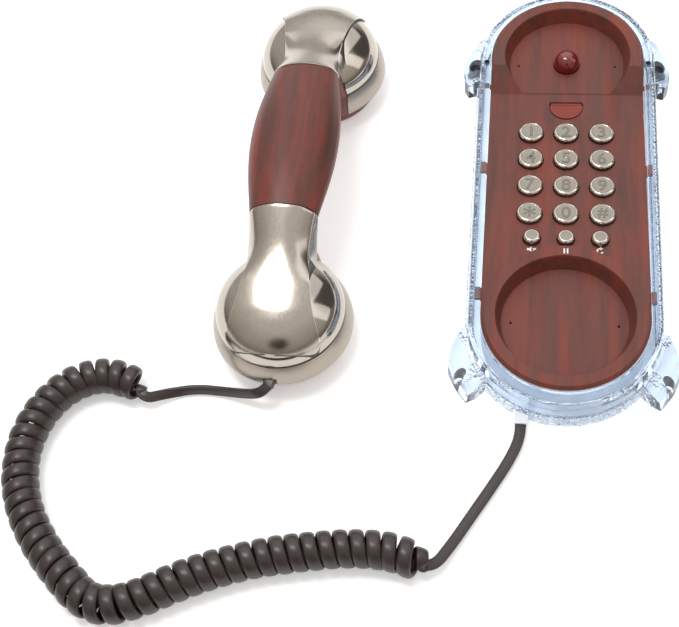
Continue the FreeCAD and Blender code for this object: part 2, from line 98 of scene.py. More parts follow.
def noise(nt, vec, scale, detail=4.0, rough=0.55, dist=0.0):
    n = nd(nt, "ShaderNodeTexNoise")
    n.inputs["Scale"].default_value = scale
    n.inputs["Detail"].default_value = detail
    n.inputs["Roughness"].default_value = rough
    n.inputs["Distortion"].default_value = dist
    nt.links.new(vec.outputs[0], n.inputs["Vector"])
    return n

def bump(nt, height_socket, bsdf, strength=0.2, distance=0.0002, normal=None):
    b = nd(nt, "ShaderNodeBump")
    b.inputs["Strength"].default_value = strength
    b.inputs["Distance"].default_value = distance
    nt.links.new(height_socket, b.inputs["Height"])
    if normal is not None:
        nt.links.new(normal.outputs["Normal"], b.inputs["Normal"])
    nt.links.new(b.outputs["Normal"], bsdf.inputs["Normal"])
    return b

def mathn(nt, op, a, b=None, v=None):
    n = nd(nt, "ShaderNodeMath", operation=op)
    nt.links.new(a, n.inputs[0])
    if b is not None:
        nt.links.new(b, n.inputs[1])
    elif v is not None:
        n.inputs[1].default_value = v
    return n

def vary_rough(nt, b, vec, scale, lo, hi):
    n = noise(nt, vec, scale, 3.0)
    mr = nd(nt, "ShaderNodeMapRange")
    mr.inputs["To Min"].default_value = lo
    mr.inputs["To Max"].default_value = hi
    nt.links.new(n.outputs["Fac"], mr.inputs["Value"])
    nt.links.new(mr.outputs["Result"], b.inputs["Roughness"])

def wood(name, rot=(0, 0, 0), tone=1.0, warm=0.0, scale=1.0, rough=(0.36, 0.5), coat=0.0):
    """Printed wood look: long dark and reddish streaks under a satin lacquer."""
    m, nt, b = mat(name)
    c = coords(nt, (55 * scale, 5.2 * scale, 55 * scale), rot)
    n1 = noise(nt, c, 1.6, 5.0, 0.6, 0.9)
    c2 = coords(nt, (160 * scale, 11 * scale, 160 * scale), rot)
    n2 = noise(nt, c2, 1.5, 6.0, 0.65, 0.4)
    c3 = coords(nt, (22 * scale, 5 * scale, 22 * scale), rot)
    n3 = noise(nt, c3, 1.0, 2.0, 0.5, 0.2)
    k = tone
    r1 = ramp(nt, [(0.30, (0.098 * k, 0.046 * k, 0.036 * k)), (0.46, (0.150 * k, 0.045 * k, 0.034 * k)),
                   (0.58, ((0.185 + warm) * k, 0.044 * k, 0.030 * k)), (0.72, ((0.212 + warm) * k, 0.040 * k, 0.025 * k))])
    nt.links.new(n1.outputs["Fac"], r1.inputs["Fac"])
    r2 = ramp(nt, [(0.36, (0.74, 0.76, 0.78)), (0.55, (1.0, 1.0, 1.0)), (0.75, (1.12, 1.08, 1.05))])
    nt.links.new(n2.outputs["Fac"], r2.inputs["Fac"])
    mx = nd(nt, "ShaderNodeMix", data_type="RGBA", blend_type="MULTIPLY")
    mx.inputs["Factor"].default_value = 0.75
    nt.links.new(r1.outputs["Color"], mx.inputs["A"])
    nt.links.new(r2.outputs["Color"], mx.inputs["B"])
    r3 = ramp(nt, [(0.35, (0.90, 0.93, 0.95)), (0.65, (1.08, 1.0, 0.98))])
    nt.links.new(n3.outputs["Fac"], r3.inputs["Fac"])
    mx2 = nd(nt, "ShaderNodeMix", data_type="RGBA", blend_type="MULTIPLY")
    mx2.inputs["Factor"].default_value = 0.8
    nt.links.new(mx.outputs["Result"], mx2.inputs["A"])
    nt.links.new(r3.outputs["Color"], mx2.inputs["B"])
    nt.links.new(mx2.outputs["Result"], b.inputs["Base Color"])
    vary_rough(nt, b, c2, 1.0, *rough)
    b.inputs["Coat Weight"].default_value = coat
    b.inputs["Coat Roughness"].default_value = 0.25
    b.inputs["Specular IOR Level"].default_value = 0.27
    bump(nt, n2.outputs["Fac"], b, 0.12, 0.00015)
    return m

def brushed(name, color, rough=(0.2, 0.34), rot=(0, 0, 0), along=(40, 900, 40), strength=0.05, aniso=0.0):
    m, nt, b = mat(name)
    b.inputs["Metallic"].default_value = 1.0
    c = coords(nt, along, rot)
    n1 = noise(nt, c, 2.0, 4.0, 0.6)
    lo = tuple(x * 0.93 for x in color)
    hi = tuple(min(1.0, x * 1.05) for x in color)
    r = ramp(nt, [(0.3, lo), (0.7, hi)])
    nt.links.new(n1.outputs["Fac"], r.inputs["Fac"])
    nt.links.new(r.outputs["Color"], b.inputs["Base Color"])
    mr = nd(nt, "ShaderNodeMapRange")
    mr.inputs["From Min"].default_value = 0.3
    mr.inputs["From Max"].default_value = 0.7
    mr.inputs["To Min"].default_value = rough[0]
    mr.inputs["To Max"].default_value = rough[1]
    nt.links.new(n1.outputs["Fac"], mr.inputs["Value"])
    nt.links.new(mr.outputs["Result"], b.inputs["Roughness"])
    b.inputs["Anisotropic"].default_value = aniso
    bump(nt, n1.outputs["Fac"], b, strength, 0.0001)
    return m

def plastic(name, color, rough=(0.4, 0.55), grain=900.0, strength=0.08, coat=0.0, vary=0.08, spec=0.5):
    m, nt, b = mat(name)
    c = coords(nt)
    n1 = noise(nt, c, 60.0, 3.0)
    lo = tuple(x * (1 - vary) for x in color)
    hi = tuple(x * (1 + vary) for x in color)
    r = ramp(nt, [(0.35, lo), (0.65, hi)])
    nt.links.new(n1.outputs["Fac"], r.inputs["Fac"])
    nt.links.new(r.outputs["Color"], b.inputs["Base Color"])
    vary_rough(nt, b, c, 40.0, *rough)
    n2 = noise(nt, c, grain, 2.0)
    bump(nt, n2.outputs["Fac"], b, strength, 0.0001)
    b.inputs["Coat Weight"].default_value = coat
    b.inputs["Coat Roughness"].default_value = 0.08
    b.inputs["Specular IOR Level"].default_value = spec
    return m

def clear(name, tint, rough=0.02, ior=1.36, foot=False):
    m, nt, b = mat(name)
    b.inputs["Transmission Weight"].default_value = 1.0
    b.inputs["IOR"].default_value = ior
    c = coords(nt)
    n1 = noise(nt, c, 90.0, 3.0)
    r = ramp(nt, [(0.3, tint), (0.7, tuple(min(1, x * 1.02) for x in tint))])
    nt.links.new(n1.outputs["Fac"], r.inputs["Fac"])
    nt.links.new(r.outputs["Color"], b.inputs["Base Color"])
    vary_rough(nt, b, c, 120.0, rough * 0.5, rough * 1.6)
    n2 = noise(nt, c, 160.0, 2.0)
    bump(nt, n2.outputs["Fac"], b, 0.05, 0.0004)
    if foot:
        # faceted foot band
        sp = nd(nt, "ShaderNodeSeparateXYZ")
        nt.links.new(c.outputs[0], sp.inputs[0])
        mz = nd(nt, "ShaderNodeMapRange")
        mz.inputs["From Min"].default_value = 0.0074
        mz.inputs["From Max"].default_value = 0.0066
        nt.links.new(sp.outputs["Z"], mz.inputs["Value"])
        vo = nd(nt, "ShaderNodeTexVoronoi")
        vo.inputs["Scale"].default_value = 620.0
        nt.links.new(c.outputs[0], vo.inputs["Vector"])
        ml = mathn(nt, "MULTIPLY", vo.outputs["Distance"], mz.outputs["Result"])
        b2 = nd(nt, "ShaderNodeBump")
        b2.inputs["Strength"].default_value = 1.0
        b2.inputs["Distance"].default_value = 0.0016
        nt.links.new(ml.outputs[0], b2.inputs["Height"])
        old = b.inputs["Normal"].links[0].from_socket
        nt.links.new(old, b2.inputs["Normal"])
        nt.links.new(b2.outputs["Normal"], b.inputs["Normal"])
    out = nt.nodes.get("Material Output")
    lp = nd(nt, "ShaderNodeLightPath")
    tr = nd(nt, "ShaderNodeBsdfTransparent")
    tr.inputs["Color"].default_value = (0.93, 0.96, 1.0, 1.0)
    ms = nd(nt, "ShaderNodeMixShader")
    nt.links.new(lp.outputs["Is Shadow Ray"], ms.inputs[0])
    nt.links.new(b.outputs[0], ms.inputs[1])
    nt.links.new(tr.outputs[0], ms.inputs[2])
    nt.links.new(ms.outputs[0], out.inputs["Surface"])
    return m

M = {}
M["panel"] = wood("wood_look_panel")
M["grip"] = wood("wood_look_grip", rot=(0, 0, math.radians(-14)), tone=0.86, warm=0.035, scale=0.8, rough=(0.34, 0.46), coat=0.04)
M["nickel"] = brushed("brushed_nickel", (0.440, 0.396, 0.345), rough=(0.17, 0.26), along=(900, 50, 900), strength=0.035)
# lighter nickel for the strap edges: a painted highlight of the bevel
M["edge_bright"] = brushed("nickel_edge_painted_highlight", (0.74, 0.69, 0.62), rough=(0.12, 0.18), along=(300, 300, 300), strength=0.01)
M["nickel_dome"] = brushed("nickel_dome", (0.46, 0.42, 0.37), rough=(0.07, 0.13), along=(700, 70, 700), strength=0.02)
M["nickel_skirt"] = brushed("nickel_skirt", (0.375, 0.33, 0.28), rough=(0.27, 0.38), along=(60, 60, 1500), strength=0.03)
M["key"] = brushed("key_nickel", (0.258, 0.234, 0.198), rough=(0.22, 0.36), along=(120, 1100, 120), strength=0.03)
# lighter copy of the key nickel for the bevel rings: painted highlight
M["key_rim_painted_highlight"] = brushed("key_rim_painted_highlight", (0.66, 0.61, 0.54), rough=(0.10, 0.16), along=(200, 200, 200), strength=0.01)
M["digit"] = brushed("digit_nickel", (0.20, 0.18, 0.145), rough=(0.3, 0.4), along=(400, 900, 400), strength=0.02)
# dark outline behind the digits: painted shade of their relief
M["digit_edge_painted_shade"] = plastic("digit_edge_painted_shade", (0.075, 0.065, 0.052), rough=(0.4, 0.5))
M["hook"] = plastic("hook_red", (0.150, 0.008, 0.004), rough=(0.12, 0.18), strength=0.01, coat=0.7)
M["tab"] = plastic("tab_red", (0.225, 0.038, 0.024), rough=(0.40, 0.48), strength=0.05, coat=0.0, spec=0.25)
M["cap"] = plastic("cap_brown", (0.150, 0.026, 0.018), rough=(0.22, 0.32), strength=0.03, coat=0.25)
M["cord"] = plastic("cord_brown", (0.030, 0.020, 0.0175), rough=(0.30, 0.40), strength=0.05, grain=1500)
M["clear"] = clear("clear_acrylic", (0.80, 0.885, 0.985), foot=True)
M["panel_back"] = plastic("panel_back", (0.78, 0.83, 0.90), rough=(0.35, 0.45), strength=0.03)
# darker, greyer copy of the acrylic for the ears: painted shade
M["clear_ear_painted_shade"] = clear("clear_ear_painted_shade", (0.61, 0.68, 0.775), ior=1.46)
# dark opaque fill for the holes in the acrylic: painted shade
M["clear_hole_painted_shade"] = plastic("clear_hole_painted_shade", (0.12, 0.135, 0.165), rough=(0.12, 0.2), strength=0.02, coat=0.5)
M["bead"] = clear("bead_crystal", (0.80, 0.84, 0.90), 0.03)
M["white_p"] = plastic("white_plastic", (0.86, 0.89, 0.94), rough=(0.35, 0.45))
M["dark"] = plastic("dark_plastic", (0.035, 0.031, 0.030), rough=(0.5, 0.6))
M["ivory"] = plastic("ivory_plastic", (0.72, 0.70, 0.62), rough=(0.4, 0.5))
M["rubber"] = plastic("rubber_pad", (0.03, 0.03, 0.03), rough=(0.75, 0.85), strength=0.2)
M["silicone"] = plastic("silicone_grey", (0.35, 0.35, 0.35), rough=(0.6, 0.7))
M["pcb"] = plastic("circuit_board", (0.03, 0.16, 0.07), rough=(0.3, 0.4))
M["brass"] = brushed("brass_disc", (0.80, 0.60, 0.30), rough=(0.25, 0.35), along=(200, 200, 200))
M["steel"] = brushed("screw_steel", (0.56, 0.56, 0.58), rough=(0.3, 0.42), along=(300, 300, 300))
# near-black paint for the strap side walls: painted shade of the gap
M["seam"] = plastic("seam_dark", (0.02, 0.018, 0.016), rough=(0.4, 0.5))
M["white"] = plastic("icon_white", (0.82, 0.82, 0.80), rough=(0.5, 0.6), strength=0.02, vary=0.02)

def paint(node, m):
    o = N[node]
    if not o.data.materials:
        o.data.materials.append(m)
    for i in range(len(o.data.materials)):
        o.data.materials[i] = m

for n, m in {"face_panel": "panel", "clear_housing": "clear", "bead_trim": "bead", "bottom_cover": "white_p", "cover_screws": "steel",
             "rubber_feet": "rubber", "ballast_plate": "steel", "keypad_board": "pcb", "keypad_membrane": "silicone", "board_screws": "steel",
             "ringer_disc": "brass", "hook_switch": "dark", "line_jack": "ivory", "jack_contacts": "brass", "base_grommet": "white_p",
             "hook_plunger": "hook", "hang_tab": "tab", "grip_sleeve": "grip", "grip_core": "steel", "ear_shell": "nickel", "mouth_shell": "nickel",
             "ear_skirt": "nickel_skirt", "mouth_skirt": "nickel_skirt", "ear_cap": "cap", "mouth_cap": "cap", "ear_neck_web": "cap", "mouth_neck_web": "cap", "receiver_capsule": "dark",
             "microphone_capsule": "dark", "mouth_weight": "steel", "handset_screws": "steel", "handset_strain_relief": "cord",
             "cord_coil": "cord", "cord_lead_base": "cord", "cord_lead_handset": "cord"}.items():
    paint(n, M[m])
ho = N["clear_housing"]
ho.data.materials.append(M["clear_hole_painted_shade"])
ho.data.materials.append(M["clear_ear_painted_shade"])
hole_shade_slot = len(ho.data.materials) - 2
def spine(q):
    return abs(q.x) / MM if abs(q.y) / MM < 76.5 else math.hypot(q.x / MM, abs(q.y) / MM - 76.5)
side = max(spine(ho.matrix_world @ p.center) for p in ho.data.polygons if abs((ho.matrix_world @ p.center).y) / MM < 40.0)
print("side radius", side)
# faces beyond the side wall (the ears) take the darker acrylic, painted shade
for p in ho.data.polygons:
    if spine(ho.matrix_world @ p.center) > side + 0.4:
        p.material_index = hole_shade_slot + 1
# faces around the holes are painted dark as shade
for p in ho.data.polygons:
    q = ho.matrix_world @ p.center
    for hx, hy in ((46.4, -102.0), (46.4, 78.0)):
        far = max(math.hypot(abs(w_.x) / MM - hx, w_.y / MM - hy) for w_ in (ho.matrix_world @ ho.data.vertices[vi].co for vi in p.vertices))
        if far < 4.0:
            p.material_index = hole_shade_slot
    if math.hypot(abs(q.x) / MM - 40.3, q.y / MM - 73.0) < 1.42 and q.z / MM > 18.4:
        p.material_index = hole_shade_slot
# the wood look covers only the face; the moulding under it is pale
po = N["face_panel"]
po.data.materials.append(M["panel_back"])
for p in po.data.polygons:
    q = po.matrix_world @ p.center
    nn = po.matrix_world.to_3x3() @ p.normal
    if q.z / MM > 19.6 or spine(q) > 38.75:
        continue
    out_dir = Vector((q.x, max(0.0, abs(q.y) - 76.5 * MM) * (1 if q.y > 0 else -1), 0))
    cup_dir = Vector((q.x, q.y - (76.5 * MM if q.y > 0 else -76.5 * MM), 0))
    outward = nn.xy.dot(out_dir.xy) > 0 and spine(q) > 36.5
    around_cup = cup_dir.length / MM > 29.0 and nn.xy.dot(cup_dir.xy) > 0.3 * cup_dir.length and abs(nn.z) < 0.4
    if nn.z < -0.3 or outward or around_cup:
        p.material_index = len(po.data.materials) - 1
KEYNODES = [n for n in N if n.startswith("key_")]
for n in KEYNODES:
    paint(n, M["key"])

def new_obj(name, verts, faces, m, body=None, smooth=True, sharp=None):
    me = bpy.data.meshes.new(name)
    me.from_pydata([tuple(v) for v in verts], [], faces)
    me.validate()
    me.update()
    o = bpy.data.objects.new(name, me)
    bpy.context.scene.collection.objects.link(o)
    me.materials.append(m)
    if smooth:
        for p in me.polygons:
            p.use_smooth = True
        if sharp:
            me.set_sharp_from_angle(angle=math.radians(sharp))
    if body:
        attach(o, body)
    return o

def loft(rings, closed=True, cap=True, flip=False):
    """Mesh data from equal rings of points."""
    n = len(rings[0])
    v = [p for r in rings for p in r]
    f = []
    for i in range(len(rings) - 1):
        for j in range(n if closed else n - 1):
            a, b = i * n + j, i * n + (j + 1) % n
            c, d = (i + 1) * n + (j + 1) % n, (i + 1) * n + j
            f.append((a, d, c, b) if flip else (a, b, c, d))
    if cap and closed:
        f.append(tuple(range(n - 1, -1, -1)) if not flip else tuple(range(n)))
        k = (len(rings) - 1) * n
        f.append(tuple(range(k, k + n)) if not flip else tuple(range(k + n - 1, k - 1, -1)))
    return v, f

def fix_normals(o):
    bm = bmesh.new()
    bm.from_mesh(o.data)
    bmesh.ops.recalc_face_normals(bm, faces=bm.faces)
    bm.to_mesh(o.data)
    bm.free()

# ------------------------------------------------------------------ cord
ch, sh = math.cos(HYAW), math.sin(HYAW)

def hpt(u, s, z):
    """Handset frame (across, along, up) in mm to the row frame in mm."""
    return (HC[0] + u * ch - s * sh, HC[1] + u * sh + s * ch, z)

SLOT_X, GY = -18.3, -122.6
EX = hpt(-2.3, -(S2 + 34.0), 13.4)
LEAD_H = [EX, (EX[0] - 2.11, EX[1] - 2.45, 12.4), (-137.7, -116.5, 10.1), (-142.9, -115.2, 7.2), (-150.2, -113.3, 4.2), (-159.0, -111.8, 2.5),
          (-168.0, -111.8, 2.2), (-176.4, -113.4, 2.7), (-183.6, -116.3, 4.3)]
COIL = [(-187.4, -122.4), (-196.6, -111.8), (-211.0, -108.3), (-226.0, -114.2), (-236.5, -127.5), (-241.2, -144.0),
        (-240.2, -161.0), (-234.2, -177.5), (-223.5, -193.0), (-211.0, -205.5), (-198.6, -216.6), (-187.0, -218.0),
        (-174.5, -213.4), (-160.0, -205.2), (-143.5, -198.2), (-125.5, -192.6), (-107.0, -189.0), (-88.5, -186.3),
        (-72.0, -186.4), (-60.5, -190.2), (-52.5, -197.0)]
LEAD_B = [(SLOT_X, GY, 2.2), (SLOT_X, -128.6, 2.2), (-22.6, -139.6, 2.2), (-29.9, -152.7, 2.2), (-38.6, -167.5, 2.2), (-46.0, -180.5, 2.8)]

def spline_points(name, pts, res=24):
    """Points of a smooth NURBS line through the frame of control points, in mm."""
    cu = bpy.data.curves.new(name, "CURVE")
    cu.dimensions = "3D"
    sp = cu.splines.new("NURBS")
    sp.points.add(len(pts) - 1)
    for p, q in zip(sp.points, pts):
        p.co = (q[0] * MM, q[1] * MM, q[2] * MM, 1.0)
    sp.order_u = 3
    sp.use_endpoint_u = True
    sp.resolution_u = res
    cu.resolution_u = res
    o = bpy.data.objects.new(name, cu)
    bpy.context.scene.collection.objects.link(o)
    bpy.context.view_layer.update()
    me = bpy.data.meshes.new_from_object(o)
    out = [v.co.copy() / MM for v in me.vertices]
    bpy.data.objects.remove(o)
    bpy.data.meshes.remove(me)
    return out

def arclen(P):
    s = [0.0]
    for a, b in zip(P, P[1:]):
        s.append(s[-1] + (b - a).length)
    return s

def sampler(P):
    s = arclen(P)
    def at(t):
        t = max(0.0, min(s[-1], t))
        lo, hi = 0, len(s) - 1
        while hi - lo > 1:
            m = (lo + hi) // 2
            if s[m] <= t:
                lo = m
            else:
                hi = m
        w = 0 if s[hi] == s[lo] else (t - s[lo]) / (s[hi] - s[lo])
        return P[lo].lerp(P[hi], w)
    return at, s[-1]

Z_AX = 8.0
R_HEL = 6.85
PITCH_C = 6.75
route = list(LEAD_B) + [(-53.0, -192.0, 5.6)] + [(x, y, Z_AX) for x, y in reversed(COIL[1:-1])] + [(-189.6, -119.6, 6.6)] + list(reversed(LEAD_H))
RP = spline_points("cord_route", route)
at, LR = sampler(RP)
# where the curly part starts and ends along the route
def nearest(p):
    best, bt = 1e9, 0
    for i in range(0, 4000):
        t = LR * i / 4000.0
        d = (at(t) - Vector(p)).length
        if d < best:
            best, bt = d, t
    return bt
t0 = nearest((-54.5, -193.2, 7.0))
t1 = nearest((-191.5, -117.3, 7.5))
Lc = t1 - t0
turns = Lc / PITCH_C
rnd = random.Random(7)
wob = [rnd.uniform(-1, 1) for _ in range(80)]
def wobble(t):
    x = t / 11.0
    i = int(x) % 79
    f = x - int(x)
    f = f * f * (3 - 2 * f)
    return wob[i] * (1 - f) + wob[i + 1] * f

def smooth(x):
    x = max(0.0, min(1.0, x))
    return x * x * (3 - 2 * x)

path, normals, lead = [], [], []
steps_lead = 1.2
def frame_at(t):
    a, b = at(t - 0.6), at(t + 0.6)
    T = (b - a).normalized()
    H = T.cross(Vector((0, 0, 1)))
    if H.length < 1e-4:
        H = Vector((1, 0, 0))
    H.normalize()
    U = H.cross(T).normalized()
    return T, H, U

t = 0.0
while t < t0:
    T, H, U = frame_at(t)
    path.append(at(t)); normals.append(U); lead.append(1.0)
    t += steps_lead
per_turn = 44
n_c = int(turns * per_turn)
phase0 = math.radians(-90)          # starts underneath, where the lead lies
for i in range(n_c + 1):
    q = i / n_c
    tt = t0 + Lc * q
    T, H, U = frame_at(tt)
    th = phase0 - 2 * math.pi * turns * q
    e0 = smooth((tt - t0) / 7.5)
    e1 = smooth((t1 - tt) / 7.5)
    r = R_HEL * min(e0, e1) * (1 + 0.02 * wobble(tt))
    ax = 0.35 * wobble(tt + 300)
    rad = H * math.cos(th) + U * math.sin(th)
    p = at(tt) + T * ax * min(e0, e1) + rad * r
    p.z = max(p.z, 1.62)
    w = min(e0, e1)
    nn = (rad * w + U * (1 - w))
    if nn.length < 0.2:
        nn = U
    path.append(p); normals.append(nn.normalized()); lead.append(1 - w)
t = t1 + steps_lead
while t < LR:
    T, H, U = frame_at(t)
    # turned on edge where it leaves the base
    dd = LR - t
    phi = 1.15 * smooth((dd - 1.0) / 9.0) * (1 - smooth((dd - 38.0) / 36.0))
    p = at(t)
    p.z = max(p.z, 1.25 * math.cos(phi) + 2.45 * math.sin(phi) + 0.02)
    path.append(p); normals.append((U * math.cos(phi) + H * math.sin(phi)).normalized()); lead.append(1.0)
    t += steps_lead
path.append(at(LR)); normals.append(frame_at(LR)[2]); lead.append(1.0)
# thin out doubled points
pp, pn, pl = [path[0]], [normals[0]], [lead[0]]
for p, n, l in zip(path[1:], normals[1:], lead[1:]):
    if (p - pp[-1]).length > 0.25:
        pp.append(p); pn.append(n); pl.append(l)
path, normals, flat = pp, pn, pl
# section: flat four-core cable, rounded ends, shallow grooves between the cores
def cable_section(w, h, e, groove):
    out = []
    n = 44
    for k in range(n):
        a = 2 * math.pi * k / n
        c, s_ = math.cos(a), math.sin(a)
        x = w * math.copysign(abs(c) ** e, c)
        y = h * math.copysign(abs(s_) ** e, s_)
        g = sum(math.exp(-((x - gx) / 0.24) ** 2) for gx in (-1.30, 0.0, 1.30))
        if abs(x) < 2.1:
            y -= math.copysign(groove * g, y)
        out.append((x, y))
    return out
SEC_FLAT = cable_section(2.45, 1.25, 0.62, 0.24)
SEC_COIL = cable_section(3.10, 1.55, 0.84, 0.0)
rings = []
for i, (p, n, kf) in enumerate(zip(path, normals, flat)):
    a = path[max(0, i - 1)]
    b = path[min(len(path) - 1, i + 1)]
    T = (b - a).normalized()
    nn = (n - T * n.dot(T))
    nn = nn.normalized() if nn.length > 1e-5 else rings_n
    rings_n = nn
    B = T.cross(nn).normalized()
    sec = [(xf * kf + xc * (1 - kf), yf * kf + yc * (1 - kf)) for (xf, yf), (xc, yc) in zip(SEC_FLAT, SEC_COIL)]
    rings.append([(p + B * x + nn * y) * MM for x, y in sec])
v, f = loft(rings)
cord = new_obj("curly_cord", v, f, M["cord"], smooth=True, sharp=60)
fix_normals(cord)
Lp = sum((b - a).length for a, b in zip(path, path[1:]))
print("cord length mm", Lp, "route", LR, "turns", turns, "points", len(path))
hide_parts("cord_coil", "cord_lead_base", "cord_lead_handset")
[tuple(p * MM) for p in path]
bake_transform(cord)

# ------------------------------------------------------------------ handset shells
def ip(tab, x):
    """Smooth interpolation (monotone-ish Hermite) of a table."""
    if x <= tab[0][0]:
        return tab[0][1]
    if x >= tab[-1][0]:
        return tab[-1][1]
    for i in range(len(tab) - 1):
        x0, y0 = tab[i]; x1, y1 = tab[i + 1]
        if x <= x1:
            def slope(k):
                if k <= 0:
                    return (tab[1][1] - tab[0][1]) / (tab[1][0] - tab[0][0])
                if k >= len(tab) - 1:
                    return (tab[-1][1] - tab[-2][1]) / (tab[-1][0] - tab[-2][0])
                return (tab[k + 1][1] - tab[k - 1][1]) / (tab[k + 1][0] - tab[k - 1][0])
            h = x1 - x0
            u = (x - x0) / h
            m0, m1 = slope(i) * h, slope(i + 1) * h
            return (2 * u**3 - 3 * u**2 + 1) * y0 + (u**3 - 2 * u**2 + u) * m0 + (-2 * u**3 + 3 * u**2) * y1 + (u**3 - u**2) * m1

W_T = [(41.4, 15.95), (45, 15.1), (50, 14.3), (56, 13.8), (62, 13.9), (69, 14.7), (77, 16.0), (86, 18.0), (92, 20.2), (96, 21.6)]
ZT_T = [(41.4, 57.9), (45, 56.3), (49, 54.5), (53, 52.7), (57, 50.95), (61, 49.45), (65, 48.15), (70, 46.8), (75, 45.6), (80, 44.45), (84, 43.5), (88, 42.45), (92, 41.08)]
ZE_T = [(41.4, 48.6), (45, 47.8), (49, 46.5), (57, 43.2), (65, 40.6), (74, 38.0)]
W2_T = [(41.4, 15.95), (45, 15.9), (49, 15.9), (57, 16.1), (65, 16.6), (74, 17.0)]
ZL_T = [(41.4, 48.6), (45, 45.6), (49, 42.6), (57, 38.0), (65, 33.0), (74, 27.5)]
ZB_T = [(41.4, 39.3), (49, 35.5), (57, 31.2), (65, 27.0), (74, 24.2)]

def z_dome(u, s, a=30.45, c=21.0):
    q = 1 - (u * u + (s - S2) ** 2) / (a * a)
    return SEAM + c * math.sqrt(max(0.0, q))

def strap_ring(s, n=48, k=1.0):
    W = ip(W_T, s) if s <= 96 else 21.6 * math.sqrt(max(0.0, 1 - ((s - 96) / 8.45) ** 2))
    zt = ip(ZT_T, s) if s < 92 else z_dome(0, s)
    ze = ip(ZE_T, s)
    b = smooth((s - 53) / 22.0)
    p = 0.5 + 0.2 * smooth((s - 41.4) / 12.0)
    top = []
    for i in range(n + 1):
        a = math.pi * i / n
        u = W * math.cos(a)
        if i in (1, n - 1):
            u = math.copysign(max(0.0, W - min(0.42, 0.05 * W)), u)
        t = max(0.0, 1 - (u / max(W, 1e-6)) ** 2)
        zn = ze + (zt - ze) * t ** p
        fl = 0.66 + 0.31 * smooth((s - 84) / 14.0)
        zd = zt - (z_dome(0, s) - z_dome(u, s)) * fl
        top.append((u, (1 - b) * zn + b * zd))
    g = smooth((s - 60) / 12.0)
    zedge = top[0][1]
    W2 = (1 - g) * ip(W2_T, s) + g * (W - 0.25)
    zl = (1 - g) * ip(ZL_T, s) + g * (zedge - 3.2)
    zb = (1 - g) * ip(ZB_T, s) + g * (zt - 4.2)
    zb = min(zb, zl)
    pts = [(u, z) for u, z in top]
    # rolled edges, then the side walls and the underside
    m = 10
    left = [(-W - (W2 - W) * (i / m) ** 0.8, zedge + (zl - zedge) * (i / m)) for i in range(1, m + 1)]
    bot = []
    for i in range(1, n):
        a = math.pi + math.pi * i / n
        u = W2 * math.cos(a)
        t = max(0.0, 1 - (u / max(W2, 1e-6)) ** 2)
        bot.append((u, zl - (zl - zb) * math.sqrt(t)))
    right = [(W + (W2 - W) * (i / m) ** 0.8, zedge + (zl - zedge) * (i / m)) for i in range(m, 0, -1)]
    pts += left + bot + right
    if k != 1.0:
        zc = 48.6
        pts = [(u * k, zc + (z - zc) * k) for u, z in pts]
    return [(u, s, z) for u, z in pts]

def build_strap(name, end, body="handset"):
    st = [41.45, 41.5, 42.0]
    s = 43.0
    while s < 103.6:
        st.append(s)
        s += 1.0
    st += [103.9, 104.15, 104.3, 104.4]
    rings = []
    for i, s in enumerate(st):
        k = 1.0
        if i == 0:
            k = 0.955
        elif i == 1:
            k = 0.985
        r = strap_ring(s, k=k)
        rings.append([Vector(hpt(u, end * q, z)) * MM for u, q, z in r])
    v, f = loft(rings)
    o = new_obj(name, v, f, M["nickel"], smooth=True, sharp=34)
    fix_normals(o)
    # side walls of the strap are painted near-black: a painted shadow gap
    o.data.materials.append(M["seam"])
    nring = len(rings[0])
    for p in o.data.polygons:
        ks = [vi % nring for vi in p.vertices]
        ss = [st[vi // nring] for vi in p.vertices]
        if len(ks) == 4 and min(ss) > 60.0 and (all(48 <= q <= 58 for q in ks) or all(q >= nring - 10 or q == 0 for q in ks)):
            p.material_index = 1
    # painted highlight: a lighter nickel line along both edges
    o.data.materials.append(M["edge_bright"])
    for p in o.data.polygons:
        ks = [vi % nring for vi in p.vertices]
        ss = [st[vi // nring] for vi in p.vertices]
        if len(ks) == 4 and 44.0 < min(ss) and max(ss) < 97.0 and (all(q <= 1 for q in ks) or all(47 <= q <= 48 for q in ks)):
            p.material_index = 2
    bv = o.modifiers.new("edge", "BEVEL")
    bv.width = 0.0004
    bv.segments = 2
    bv.limit_method = "ANGLE"
    bv.angle_limit = math.radians(34)
    return o

